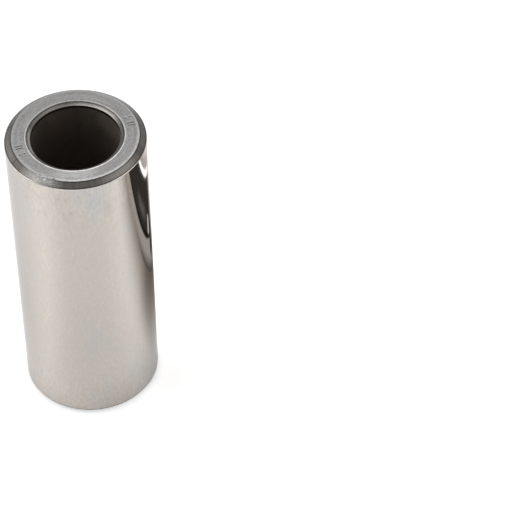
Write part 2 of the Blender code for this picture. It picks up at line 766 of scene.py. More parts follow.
class Surface(Enum):
    """The surfaces of the pin, each with its finish, in the order of the piece's material slots."""

    # The journal's light edge tone paints the highlight along the upper shoulder.
    JOURNAL = GroundJournal("ground_journal", tone=(0.647, 0.590, 0.534), roughness=0.045,
                            wear_and_highlight_tone=grey(0.92, 0.02))
    # The lead-ins, end faces, countersinks and bore carry painted highlights at set angles round the pin.
    LEAD_IN = GroundLeadIn("ground_lead_in", tone=grey(0.062, 0.08), roughness=0.42,
                           painted_highlights=(PaintedHighlight(183.0, grey(0.17, 0.06), 0.92), PaintedHighlight(306.0, grey(0.15, 0.08), 0.50),
                                   PaintedHighlight(0.0, grey(0.17, 0.06), 0.3), PaintedHighlight(90.0, grey(0.3), 0.9, 0.1, 0.8)))
    END_FACE = TurnedSteel("ground_end_face", tone=grey(0.168, 0.015), roughness=0.36,
                           scuff_tone=grey(0.19, 0.01), painted_highlights=(PaintedHighlight(266.0, grey(0.25, 0.01), 0.7, 0.89, 0.985),))
    COUNTERSINK = TurnedSteel("countersunk_mouth", tone=grey(0.11, 0.06), roughness=0.38,
                              ring_pitch=0.2, scratch_strength=0.0, dark_radius=7.38, light_radius=7.16,
                              painted_highlights=(PaintedHighlight(186.0, grey(0.27, 0.06), 0.8, 0.87, 0.985),
                                      PaintedHighlight(105.0, grey(0.145, 0.10), 0.8, 0.80, 0.985),
                                      PaintedHighlight(54.0, grey(0.29, 0.06), 0.95, 0.72, 0.95)))
    BORE = DrawnBore("drawn_bore", tone=(0.200, 0.168, 0.145), roughness=0.5,
                     painted_highlights=(PaintedHighlight(8.0, (0.42, 0.37, 0.32), 0.8, 0.2, 1.0),))

    @property
    def slot(self) -> int:
        """The material slot of this surface on the piece."""
        return list(Surface).index(self)


@dataclass(frozen=True)
class Row:
    """One ring of points of the turned piece."""

    radius: float
    height: float
    normal: Pair
    surface: Surface
    # How much edge wear and painted highlight the ring shows, and how much painted shade it carries.
    worn_and_highlit: float = 0.0
    painted_edge_shade: float = 0.0


@dataclass(frozen=True)
class Corner:
    """A corner of the section before it is blended, how far its blend shows wear and a painted highlight, and how
    much painted shade it carries.
    """

    radius: float
    height: float
    blend: float
    worn_and_highlit: float = 0.0
    painted_edge_shade: float = 0.0

    @property
    def place(self) -> Vector:
        """The corner as a point of the section."""
        return Vector((self.radius, self.height))


@dataclass(frozen=True)
class Stretch:
    """The straight stretch that follows a corner."""

    surface: Surface
    spacing: float


@dataclass
class Section:
    """The closed section of the tube. It runs down the outside, in along the foot, up the bore and out."""

    corners: list[Corner]
    stretches: list[Stretch]
    arc_rows: int = 7

    def rows(self) -> list[Row]:
        """Go round the section and blend its corners.

        Returns:
            The rows of points along it.
        """
        rows: list[Row] = []
        count = len(self.corners)
        for index in range(count):
            before, corner, after, later = (self.corners[(index + step) % count] for step in (-1, 0, 1, 2))
            arc = self._arc(before.place, corner, after.place, self.stretches[index].surface)
            following = self._arc(corner.place, after, later.place, self.stretches[index].surface)
            rows += arc
            rows += self._straight(arc[-1], following[0], self.stretches[index])
        return rows

    def _arc(self, before: Vector, corner: Corner, after: Vector, surface: Surface) -> list[Row]:
        """Rows of the arc that rounds one corner, whether it stands out or is let in.

        Args:
            before: The place of the corner before it.
            corner: The corner to round.
            after: The place of the corner after it.
            surface: The surface that the rows belong to.

        Returns:
            The rows, from the first tangent point to the last.
        """
        way_in = (corner.place - before).normalized()
        way_out = (after - corner.place).normalized()
        turn = way_in.angle(way_out)
        middle = (way_out - way_in).normalized()
        centre = corner.place + middle * corner.blend / math.cos(turn / 2)
        first = Vector((-way_in.y, way_in.x))
        last = Vector((-way_out.y, way_out.x))
        reach = corner.blend if middle.dot(first) < 0 else -corner.blend
        rows = []
        for step in range(self.arc_rows + 1):
            share = step / self.arc_rows
            normal = first.slerp(last, share)
            place = centre + normal * reach
            swell = math.sqrt(math.sin(math.pi * share))
            rows.append(Row(place.x, place.y, (normal.x, normal.y), surface, corner.worn_and_highlit * swell,
                            corner.painted_edge_shade * swell))
        return rows

    @staticmethod
    def _straight(start: Row, end: Row, stretch: Stretch) -> list[Row]:
        """Rows between two arcs, without the ends, which the arcs give.

        Args:
            start: The last row of the arc before.
            end: The first row of the arc after.
            stretch: The stretch's surface and spacing.

        Returns:
            The rows between.
        """
        length = math.hypot(end.radius - start.radius, end.height - start.height)
        count = max(2, math.ceil(length / stretch.spacing))
        rows = []
        for step in range(1, count):
            share = step / count
            radius = start.radius + (end.radius - start.radius) * share
            height = start.height + (end.height - start.height) * share
            rows.append(Row(radius, height, start.normal, stretch.surface))
        return rows


def eased(distance: np.ndarray, reach: float) -> np.ndarray:
    """1 at no distance, easing to 0 at the reach and beyond.

    Args:
        distance: Distances, none below 0.
        reach: Where the result reaches 0.

    Returns:
        The eased numbers.
    """
    share = np.clip(1 - distance / reach, 0.0, 1.0)
    return share * share * (3 - 2 * share)


@dataclass(frozen=True)
class Patch:
    """Local distances on the upper end: round the pin and outward from a mark's centre, in metres."""

    around: np.ndarray
    outward: np.ndarray


@dataclass(frozen=True)
class PunchDot:
    """A round dimple from a prick punch."""

    around: float
    outward: float
    radius: float = 0.30 * MM
    depth: float = 0.11 * MM

    def press(self, patch: Patch) -> np.ndarray:
        """Press the dimple.

        Args:
            patch: Each point's place about the centre of the mark.

        Returns:
            How deep it is at each point.
        """
        away = np.hypot(patch.around - self.around, patch.outward - self.outward)
        return self.depth * eased(away, self.radius)


@dataclass(frozen=True)
class PunchTick:
    """A short straight groove from a chisel-edged punch."""

    around: float
    lean: float
    length: float = 1.05 * MM
    width: float = 0.20 * MM
    depth: float = 0.10 * MM

    def press(self, patch: Patch) -> np.ndarray:
        """Press the groove.

        Args:
            patch: Each point's place about the centre of the mark.

        Returns:
            How deep it is at each point.
        """
        turn = math.radians(self.lean)
        right = patch.around - self.around
        along = patch.outward * math.cos(turn) + right * math.sin(turn)
        across = right * math.cos(turn) - patch.outward * math.sin(turn)
        beyond = np.clip(np.abs(along) - self.length / 2, 0.0, None)
        return self.depth * eased(np.hypot(across, beyond), self.width)


@dataclass(frozen=True)
class PunchMark:
    """A group of punch strokes at one angle of the upper end face."""

    angle: float
    strokes: tuple[Union[PunchDot, PunchTick], ...]
    radius: float = 8.9 * MM
    reach: float = 1.3 * MM


@dataclass(frozen=True)
class Dent:
    """A nick near the upper rim: its angle in degrees, and how far it lies from the rim toward the lead-in."""

    angle: float
    beyond: float
    reach: float
    depth: float

    def share(self, degrees: np.ndarray, beyond: np.ndarray, rim_radius: float, length: float = 1.0) -> np.ndarray:
        """How near each point is to the middle of the dent.

        Args:
            degrees: Each column's angle about the axis, in degrees.
            beyond: Each row's distance along the section from the rim.
            rim_radius: The radius of the rim.
            length: How many times longer the dent is round the pin than across.

        Returns:
            1 in the middle, easing to 0 at the dent's reach.
        """
        around = np.radians(degrees - self.angle) * rim_radius
        return eased(np.hypot(around / length, beyond - self.beyond), self.reach)


@dataclass(frozen=True)
class Bruise:
    """The knocked stretch of the upper rim: the edge is pressed down, scuffed and nicked."""

    first_angle: float = 211.0
    last_angle: float = 257.0
    soft_end: float = 26.0
    sharp_end: float = 14.0
    middle: float = 0.15 * MM
    width: float = 0.60 * MM
    depth: float = 0.07 * MM
    ripple: float = 0.25
    ripple_rates: Pair = (1.7, 0.9)
    scuff_middle: float = 0.70 * MM
    scuff_reach: float = 1.9 * MM
    dents: tuple[Dent, ...] = (
        Dent(227.5, 0.15 * MM, 0.20 * MM, 0.06 * MM),
        Dent(231.0, 0.35 * MM, 0.16 * MM, 0.05 * MM),
        Dent(235.0, 0.10 * MM, 0.22 * MM, 0.08 * MM),
        Dent(238.5, 0.40 * MM, 0.24 * MM, 0.08 * MM),
        Dent(243.0, 0.05 * MM, 0.15 * MM, 0.05 * MM),
    )
    dent_length: float = 1.5
    pit: Dent = Dent(247.5, -0.05 * MM, 0.24 * MM, 0.12 * MM)


@dataclass
class TurnedPin:
    """The pin itself, as one closed turned piece with its marks and wear, and the painted highlights and painted
    shade that its finishes read.
    """

    outer_radius: float
    length: float
    wall: float = 4.0 * MM
    lead_in_width: float = 1.1 * MM
    lead_in_run: float = 0.85 * MM
    mouth_width: float = 0.6 * MM
    mouth_depth: float = 0.45 * MM
    mouth_step_width: float = 0.05 * MM
    mouth_step_depth: float = 0.18 * MM
    shoulder_blend: float = 0.16 * MM
    foot_blend: float = 0.30 * MM
    face_edge_blend: float = 0.18 * MM
    mouth_blend: float = 0.12 * MM
    step_blend: float = 0.03 * MM
    bore_edge_blend: float = 0.05 * MM
    coarse_step: float = 1.5
    fine_step: float = 0.25
    fine_margin: float = 1.0
    # Painted highlights on the edges: the angles where they are brightest, and their strengths.
    rim_highlight_angle: float = 300.0
    mouth_highlight_angle: float = 275.0
    shoulder_highlight_angle: float = 238.0
    # The angle where the painted shade along the upper shoulder is darkest.
    shoulder_shade_angle: float = 12.0
    least_highlight: float = 0.25
    highlight_falloff: float = 1.7
    shoulder_highlight: float = 0.9
    rim_highlight: float = 0.85
    highlight_reach: float = 0.20 * MM
    mark_full_depth: float = 0.08 * MM
    lip_highlight: float = 0.5
    beside_rim: float = 0.4
    fresh_steel_highlight: float = 0.4
    knock_spread: float = 1.6
    knock_dulling: float = 0.9
    bruise: Bruise = field(default_factory=Bruise)
    marks: tuple[PunchMark, ...] = (
        PunchMark(11.0, (PunchTick(-0.26 * MM, 0.0), PunchTick(0.26 * MM, 0.0))),
        PunchMark(21.0, (PunchDot(0.0, 0.38 * MM), PunchDot(0.0, -0.38 * MM))),
        PunchMark(191.0, (PunchTick(-0.26 * MM, 0.0), PunchTick(0.26 * MM, 0.0))),
        PunchMark(201.0, (PunchDot(0.0, 0.38 * MM), PunchDot(0.0, -0.38 * MM))),
    )

    def section(self) -> Section:
        """Lay out the pin's section, with the rows close together where the upper end carries marks.

        Returns:
            The section.
        """
        bore = self.outer_radius - self.wall
        face_edge = self.outer_radius - self.lead_in_width
        mouth = bore + self.mouth_width
        # The blends of the end faces carry wear and painted highlights; the foot, the step in each mouth and the
        # bore's edge carry painted shade.
        lower = [
            Corner(self.outer_radius, self.lead_in_run, self.foot_blend, painted_edge_shade=0.7),
            Corner(face_edge, 0.0, self.face_edge_blend, worn_and_highlit=1.0),
            Corner(mouth, 0.0, self.mouth_blend, worn_and_highlit=1.0),
            Corner(mouth - self.mouth_step_width, self.mouth_step_depth, self.step_blend, painted_edge_shade=1.0),
            Corner(bore, self.mouth_depth, self.bore_edge_blend, painted_edge_shade=0.9),
        ]
        upper = [replace(corner, height=self.length - corner.height) for corner in reversed(lower)]
        upper[-1] = replace(upper[-1], blend=self.shoulder_blend, worn_and_highlit=0.9, painted_edge_shade=0.0)
        stretches = [
            Stretch(Surface.LEAD_IN, 0.4 * MM),
            Stretch(Surface.END_FACE, 0.5 * MM),
            Stretch(Surface.COUNTERSINK, 0.1 * MM),
            Stretch(Surface.COUNTERSINK, 0.3 * MM),
            Stretch(Surface.BORE, 3.0 * MM),
            Stretch(Surface.COUNTERSINK, 0.15 * MM),
            Stretch(Surface.COUNTERSINK, 0.05 * MM),
            Stretch(Surface.END_FACE, 0.054 * MM),
            Stretch(Surface.LEAD_IN, 0.075 * MM),
            Stretch(Surface.JOURNAL, 2.5 * MM),
        ]
        return Section(lower + upper, stretches)

    def angles(self) -> np.ndarray:
        """Space the columns of points, close together where the rim carries marks.

        Returns:
            Their angles in radians.
        """
        fine = [(self.bruise.first_angle, self.bruise.last_angle)]
        for mark in self.marks:
            half = math.degrees(mark.reach / mark.radius) / 2
            fine.append((mark.angle - half, mark.angle + half))
        angle = 0.0
        found = []
        while angle < 360.0 - self.fine_step / 2:
            found.append(angle)
            close = any(a - self.fine_margin <= angle < b + self.fine_margin for a, b in fine)
            step = self.fine_step if close else self.coarse_step
            ahead = [a - self.fine_margin for a, _ in fine if angle < a - self.fine_margin < angle + step]
            angle = min([angle + step, *ahead])
        return np.radians(found)

    def press_marks(self, radius: np.ndarray, angle: np.ndarray) -> np.ndarray:
        """How deep the punch marks are at each point of the upper end face.

        Args:
            radius: Each point's distance from the axis.
            angle: Each point's angle about the axis, in radians.

        Returns:
            The depths in metres.
        """
        depth = np.zeros(np.broadcast(radius, angle).shape)
        for mark in self.marks:
            turn = math.radians(mark.angle)
            away = np.angle(np.exp(1j * (angle - turn)))
            patch = Patch(around=-away * mark.radius + 0.0 * radius, outward=radius - mark.radius + 0.0 * away)
            for stroke in mark.strokes:
                depth = np.maximum(depth, stroke.press(patch))
        return depth

    def painted_highlight(self, angle: np.ndarray, brightest: float) -> np.ndarray:
        """How bright the painted highlight on an edge is on its way round the pin.

        Args:
            angle: Each column's angle, in radians.
            brightest: The angle of the brightest stretch, in degrees.

        Returns:
            The brightness from the least highlight to 1.
        """
        swell = (0.5 + 0.5 * np.cos(angle - math.radians(brightest))) ** self.highlight_falloff
        return self.least_highlight + (1 - self.least_highlight) * swell

    def press_bruise(self, beyond: np.ndarray, angle: np.ndarray) -> tuple[np.ndarray, ...]:
        """How deep the bruised rim is at each point, and what the knocks did to its finish.

        Args:
            beyond: Each row's distance along the section from the rim between end face and lead-in.
            angle: Each column's angle about the axis, in radians.

        Returns:
            The depths in metres, where the steel is scuffed, where bare steel shows a painted glint in a nick, and
            the pit.
        """
        bruise = self.bruise
        degrees = np.degrees(angle)
        rise = np.clip((degrees - bruise.first_angle) / bruise.soft_end, 0.0, 1.0)
        fall = np.clip((bruise.last_angle - degrees) / bruise.sharp_end, 0.0, 1.0)
        stretch = rise * rise * (3 - 2 * rise) * fall
        quick, slow = bruise.ripple_rates
        ripple = 1.0 - bruise.ripple + bruise.ripple * np.sin(degrees * quick) * np.sin(degrees * slow + 1.0)
        depth = bruise.depth * stretch * ripple * eased(np.abs(beyond - bruise.middle), bruise.width)
        scuffed = stretch * eased(np.abs(beyond - bruise.scuff_middle), bruise.scuff_reach)
        fresh_glints = np.zeros(depth.shape)
        rim_radius = self.outer_radius - self.lead_in_width
        for dent in bruise.dents:
            share = dent.share(degrees, beyond, rim_radius, bruise.dent_length)
            depth = depth + dent.depth * share
            fresh_glints = np.maximum(fresh_glints, share)
        pitted = bruise.pit.share(degrees, beyond, rim_radius)
        return depth + bruise.pit.depth * pitted, scuffed + 0.0 * depth, fresh_glints, pitted

    def build(self) -> bpy.types.Object:
        """Make the piece, dress it and put it in the scene.

        Returns:
            The finished piece.
        """
        rows = self.section().rows()
        angle = self.angles()[None, :]
        radius = np.array([row.radius for row in rows])[:, None]
        height = np.array([row.height for row in rows])[:, None]
        normal = np.array([row.normal for row in rows])
        along = self._distance_along(rows)
        depth, worn_and_highlit, painted_shade, scuffed = self._wear(rows, radius, height, along, angle)
        points, normals = self._displaced(radius, height, normal, along, angle, depth)
        mesh = self._mesh(points, rows)
        self._unroll(mesh, angle[0], along[:, 0])
        for name, values in ((WearAndPaintedLight.WORN_AND_HIGHLIT, worn_and_highlit), (WearAndPaintedLight.PAINTED_SHADE, painted_shade), (WearAndPaintedLight.SCUFFED, scuffed)):
            layer = mesh.attributes.new(name.value, "FLOAT", "POINT")
            layer.data.foreach_set("value", values.astype(np.float32).ravel())
        mesh.normals_split_custom_set_from_vertices(normals.reshape(-1, 3).tolist())
        piece = bpy.data.objects.new("turned_pin", mesh)
        bpy.context.scene.collection.objects.link(piece)
        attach(piece, "root")
        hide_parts(NODE)
        return piece

    @staticmethod
    def _distance_along(rows: Sequence[Row]) -> np.ndarray:
        """Measure along the section.

        Args:
            rows: The rows of the section.

        Returns:
            Each row's distance from the first row.
        """
        places = np.array([(row.radius, row.height) for row in rows])
        steps = np.hypot(*np.diff(places, axis=0).T)
        return np.concatenate([[0.0], np.cumsum(steps)])[:, None]

    def _wear(self, rows: Sequence[Row], radius: np.ndarray, height: np.ndarray, along: np.ndarray,
              angle: np.ndarray) -> tuple[np.ndarray, ...]:
        """The depth of all marks, and the numbers that the materials read.

        Args:
            rows: The rows of the section.
            radius: Each row's radius.
            height: Each row's height.
            along: Each row's distance along the section.
            angle: Each column's angle.

        Returns:
            Depth, edge wear with painted highlights, painted shade, and scuffing at each point.
        """
        upper = height > self.length / 2
        flat_top = upper & np.array([[row.normal[1] > FLAT] for row in rows])
        rim = self.outer_radius - self.lead_in_width
        # The row at the rim is the nearest one to its corner. A row below the end face counts as far away.
        rim_row = int(np.argmin(np.abs(radius - rim) + 10.0 * np.abs(height - self.length)))
        punched = self.press_marks(radius, angle) * flat_top
        bruised, scuffed, fresh_glints, pitted = (values * upper for values in
                                           self.press_bruise(along - along[rim_row], angle))
        lip = np.clip(punched / self.mark_full_depth, 0.0, 1.0)
        # Painted highlights on the lips of the punch marks, and painted glints on bare steel in the nicks.
        fresh_glints = np.maximum(fresh_glints * self.fresh_steel_highlight, self.lip_highlight * 4 * lip * (1 - lip))
        dulled = self.knock_dulling * np.clip(self.knock_spread * scuffed, 0, 1)
        worn_and_highlit = np.maximum(self._worn_and_highlit_edges(rows, radius, angle) * (1 - dulled), fresh_glints)
        edge = np.array([row.worn_and_highlit for row in rows])[:, None]
        shoulder = radius > (rim + self.outer_radius) / 2
        # Painted shade along the upper shoulder, darkest toward the shoulder shade angle.
        shaded = (0.5 + 0.5 * np.cos(angle - math.radians(self.shoulder_shade_angle))) ** 3
        painted_edge_shade = np.array([row.painted_edge_shade for row in rows])[:, None] + 0.0 * angle
        painted_edge_shade = np.maximum(painted_edge_shade, edge * shoulder * upper * shaded)
        # Painted shade in the bottoms of the punch marks, along the shaded edges and in the pit.
        painted_shade = np.maximum(np.clip(2 * lip - 1, 0.0, 1.0), np.clip(np.maximum(painted_edge_shade, pitted), 0.0, 1.0))
        return punched + bruised, worn_and_highlit, painted_shade, scuffed

    def _worn_and_highlit_edges(self, rows: Sequence[Row], radius: np.ndarray, angle: np.ndarray) -> np.ndarray:
        """How bright the edges and the flats beside them are, from wear and from painted highlights brightest toward
        set angles, before the knocks.

        Args:
            rows: The rows of the section.
            radius: Each row's radius.
            angle: Each column's angle.

        Returns:
            The brightness at each point, from 0 to 1.
        """
        rim = self.outer_radius - self.lead_in_width
        mouth_edge = self.outer_radius - self.wall + self.mouth_width
        round_rim = self.rim_highlight * self.painted_highlight(angle, self.rim_highlight_angle)
        inside = radius < (rim + mouth_edge) / 2
        painted_highlight = np.where(inside, self.painted_highlight(angle, self.mouth_highlight_angle), round_rim)
        shoulder = radius > (rim + self.outer_radius) / 2
        painted_highlight = np.where(shoulder, self.shoulder_highlight * self.painted_highlight(angle, self.shoulder_highlight_angle) ** 2, painted_highlight)
        flat = np.abs(np.array([[row.normal[1]] for row in rows])) > FLAT
        beside = eased(np.abs(radius - mouth_edge - self.mouth_blend), self.highlight_reach)
        beside_rim = eased(np.abs(rim - self.face_edge_blend - radius), self.highlight_reach)
        beside = np.maximum(beside, self.beside_rim * beside_rim)
        edge = np.array([row.worn_and_highlit for row in rows])[:, None]
        return np.maximum(edge, beside * flat) * painted_highlight

    @staticmethod
    def _displaced(radius: np.ndarray, height: np.ndarray, normal: np.ndarray, along: np.ndarray,
                   angle: np.ndarray, depth: np.ndarray) -> tuple[np.ndarray, np.ndarray]:
        """Points pressed inward by the depth, and the normals of the pressed surface.

        Args:
            radius: Each row's radius.
            height: Each row's height.
            normal: Each row's outward direction in the section.
            along: Each row's distance along the section.
            angle: Each column's angle.
            depth: How deep the surface is pressed at each point.

        Returns:
            The points and the normals, each by row, column and direction.
        """
        cosine, sine = np.cos(angle), np.sin(angle)
        level = 0.0 * angle
        outward = np.stack([normal[:, :1] * cosine, normal[:, :1] * sine, normal[:, 1:] + level], axis=-1)
        downward = np.stack([normal[:, 1:] * cosine, normal[:, 1:] * sine, -normal[:, :1] + level], axis=-1)
        sideways = np.stack([-sine + 0 * radius, cosine + 0 * radius, 0 * radius + level], axis=-1)
        points = np.stack([radius * cosine, radius * sine, height + level], axis=-1) - outward * depth[..., None]
        slope_along = np.gradient(depth, along[:, 0], axis=0)
        slope_round = np.gradient(depth, angle[0], axis=1) / radius
        normals = outward + downward * slope_along[..., None] + sideways * slope_round[..., None]
        return points, normals / np.linalg.norm(normals, axis=-1, keepdims=True)

    @staticmethod
    def _mesh(points: np.ndarray, rows: Sequence[Row]) -> bpy.types.Mesh:
        """A closed ring-shaped mesh over a grid of points, with a material slot for each surface.

        Args:
            points: The points by row and column.
            rows: The rows of the section.

        Returns:
            The mesh, smooth and with its materials.
        """
        row_count, column_count = points.shape[:2]
        index = np.arange(row_count * column_count).reshape(row_count, column_count)
        below = np.roll(index, -1, axis=0)
        corners = np.stack([index, below, np.roll(below, -1, axis=1), np.roll(index, -1, axis=1)], axis=-1)
        mesh = bpy.data.meshes.new("turned_pin")
        mesh.from_pydata(points.reshape(-1, 3).tolist(), [], corners.reshape(-1, 4).tolist())
        for surface in Surface:
            mesh.materials.append(surface.value.material())
        slots = np.repeat([row.surface.slot for row in rows], column_count)
        mesh.polygons.foreach_set("material_index", slots.astype(np.int32))
        mesh.shade_smooth()
        return mesh

    @staticmethod
    def _unroll(mesh: bpy.types.Mesh, angle: np.ndarray, along: np.ndarray) -> None:
        """Give the mesh a map that unrolls the section over its height and the angle over its width.

        Args:
            mesh: The mesh over the grid of points.
            angle: Each column's angle.
            along: Each row's distance along the section.
        """
        across = np.append(angle / (2 * math.pi), 1.0)
        up = np.append(along / (along[-1] + along[1]), 1.0)
        left, bottom = np.meshgrid(across[:-1], up[:-1])
        right, top = np.meshgrid(across[1:], up[1:])
        corners = np.stack([left, bottom, left, top, right, top, right, bottom], axis=-1)
        layer = mesh.uv_layers.new(name="OFBake")
        layer.data.foreach_set("uv", corners.astype(np.float32).ravel())


@dataclass(frozen=True)
class Pool:
    """A stretch of the table that is lighter or duller than the rest.

    Each fade is a pair of distances from the pin's axis, in millimetres. The stretch may lie toward an angle,
    and spreads from there by the cosine of the angle away from it, or by its square for both sides of the pin.
    """

    strength: float
    fades: tuple[Pair, ...] = ()
    angle: Optional[float] = None
    spread: Pair = (0.0, 1.0)
    both_sides: bool = False

    def share(self, spot: Spot) -> Signal:
        """How strong it is at a point of the table.

        Args:
            spot: The shaded point.

        Returns:
            The share of light that it adds or takes.
        """
        parts = [spot.away.between(*fade) for fade in self.fades]
        if self.angle is not None:
            facing = spot.toward(self.angle)
            parts.append((facing * facing if self.both_sides else facing).between(*self.spread))
        return math.prod(parts) * self.strength


@dataclass(frozen=True)
class Lamp:
    """A square soft lamp that faces the pin, with its place and side in metres and its power in watts."""

    name: str
    place: tuple[float, float, float]
    side: float
    watts: float

    def hang(self, aim: tuple[float, float, float]) -> None:
        """Put the lamp in the scene.

        Args:
            aim: The point that it faces.
        """
        light = bpy.data.lights.new(self.name, "AREA")
        light.shape = "SQUARE"
        light.size = self.side
        light.energy = self.watts
        lamp = bpy.data.objects.new(self.name, light)
        lamp.location = self.place
        lamp.rotation_euler = (Vector(aim) - Vector(self.place)).to_track_quat("-Z", "Y").to_euler()
        bpy.context.scene.collection.objects.link(lamp)


@dataclass
class Studio:
    """The plain white table, the white world and the soft lamps round the pin."""

    floor_half: float = 3.0
    floor_colour: Colour = grey(0.82)
    floor_roughness: float = 0.9
    floor_lift: float = 0.22
    floor_white: float = 0.09
    far_white: Pool = Pool(0.20, ((150.0, 900.0),))
    near_white: Pool = Pool(0.10, ((14.5, 11.0),))
    foot_lift: Pool = Pool(0.08, ((26.0, 11.0),))
    foot_gap: Pool = Pool(1.6, ((8.0, 11.0),), angle=-12.0, spread=(0.87, 1.0))
    front_shade: Pool = Pool(0.13, ((20.0, 11.5),), angle=315.0, spread=(0.3, 0.9))
    lens_shade: Pool = Pool(0.19, angle=272.0, spread=(0.4, 1.0))
    table_shade: Pool = Pool(0.02, ((60.0, 11.0),))
    aside_shade: Pool = Pool(0.33, ((6.0, 27.0), (40.0, 28.0)), angle=25.0, spread=(0.777, 1.0))
    sector_shade: Pool = Pool(0.35, ((66.0, 120.0),), angle=130.0, spread=(0.1, 1.0), both_sides=True)
    runner_shade: Pool = Pool(0.5, ((64.0, 86.0),), angle=18.0, spread=(0.80, 0.87), both_sides=True)
    ambient: float = 0.62
    backdrop: Colour = grey(1.0)
    lamp_aim: tuple[float, float, float] = (0.0, 0.0, 0.03)
    lamps: tuple[Lamp, ...] = (
        Lamp("key", (-0.55, 0.05, 0.55), side=0.45, watts=1.7),
        Lamp("fill", (0.55, -0.12, 0.50), side=0.45, watts=1.15),
        Lamp("top", (0.02, 0.35, 0.75), side=0.55, watts=1.7),
    )

    @staticmethod
    def seen(graph: ShaderGraph) -> Signal:
        """1 for the rays that show the white surroundings: the camera's, and those off or through the part."""
        return graph.light_path("Is Camera Ray", "Is Glossy Ray", "Is Transmission Ray")

    def mirrored_shade(self, spot: Spot) -> Signal:
        """How much duller the table is in the polish.

        It is painted with shade that only mirrored rays meet: before the pin, where the lens stands, near the pin and
        beside it. Farther out, soft sectors and crisp dark bands of painted shade lie on both sides.

        Args:
            spot: The shaded point of the floor.

        Returns:
            The share of light that is missing, for mirrored rays alone.
        """
        pools = (self.lens_shade, self.table_shade, self.aside_shade, self.sector_shade, self.runner_shade)
        return sum(pool.share(spot) for pool in pools) * spot.graph.light_path("Is Glossy Ray")

    def build(self) -> None:
        """Make the floor, the world and the lamps."""
        self._floor()
        self._world()
        for lamp in self.lamps:
            lamp.hang(self.lamp_aim)

    def _floor(self) -> None:
        """A pale floor that keeps the pin's shadow, with a little light of its own round the pin and far off."""
        half = self.floor_half
        mesh = bpy.data.meshes.new("floor")
        mesh.from_pydata([(-half, -half, 0), (half, -half, 0), (half, half, 0), (-half, half, 0)], [], [(0, 1, 2, 3)])
        material = bpy.data.materials.new("pale_floor")
        material.use_nodes = True
        graph = ShaderGraph(material.node_tree)
        spot = graph.spot()
        sockets = {"Base Color": self.floor_colour, "Roughness": self.floor_roughness, "Specular IOR Level": 0.0}
        matt = graph.node("ShaderNodeBsdfPrincipled", {}, sockets)
        # Painted shade near the foot: the floor glows less toward -12 degrees there, and before the pin in mirrored
        # rays alone.
        front = self.front_shade.share(spot)
        foot = self.foot_lift.share(spot) * (1.0 - self.foot_gap.share(spot)) - front
        white = self.far_white.share(spot) + self.floor_white + self.near_white.share(spot) + front
        glow = self.seen(graph) * (foot + self.floor_lift) + graph.light_path("Is Camera Ray") * white
        lift = graph.node("ShaderNodeEmission", {}, {"Color": glow, "Strength": 1.0})
        both = graph.node("ShaderNodeAddShader", {}, {0: matt, 1: lift})
        surface = graph.node("ShaderNodeMixShader", {}, {0: self.mirrored_shade(spot), 1: both})
        graph.node("ShaderNodeOutputMaterial", {}, {"Surface": surface})
        mesh.materials.append(material)
        floor = bpy.data.objects.new("floor", mesh)
        bpy.context.scene.collection.objects.link(floor)

    def _world(self) -> None:
        """A white backdrop that lights the pin more softly than it looks."""
        world = bpy.data.worlds.new("white_studio")
        world.use_nodes = True
        graph = ShaderGraph(world.node_tree)
        strength = self.ambient + (1.0 - self.ambient) * self.seen(graph)
        light = graph.node("ShaderNodeBackground", {}, {"Color": self.backdrop, "Strength": strength})
        graph.node("ShaderNodeOutputWorld", {}, {"Surface": light})
        bpy.context.scene.world = world


@dataclass(frozen=True)
class Band:
    """A band of painted reflection on the mat's strip, with its tone and the fades that bound it, in millimetres.

    The lean is how far the band's edges move across the strip for each millimetre along it.
    """

    tone: float
    across: tuple[Pair, ...]
    along: tuple[Pair, ...] = ()
    lean: float = 0.0

    def over(self, tone: Value, along: Signal, across: Signal, own: Optional[Value] = None) -> Signal:
        """Lay the band over the strip.

        Args:
            tone: The strip's tone underneath.
            along: The distance along the strip.
            across: The distance across it.
            own: A tone that varies within the band, in place of the band's single tone.

        Returns:
            The strip's tone with the band on it.
        """
        slanted = across + along * self.lean
        parts = [slanted.between(*fade) for fade in self.across] + [along.between(*fade) for fade in self.along]
        return tone + ((self.tone if own is None else own) - tone) * math.prod(parts)


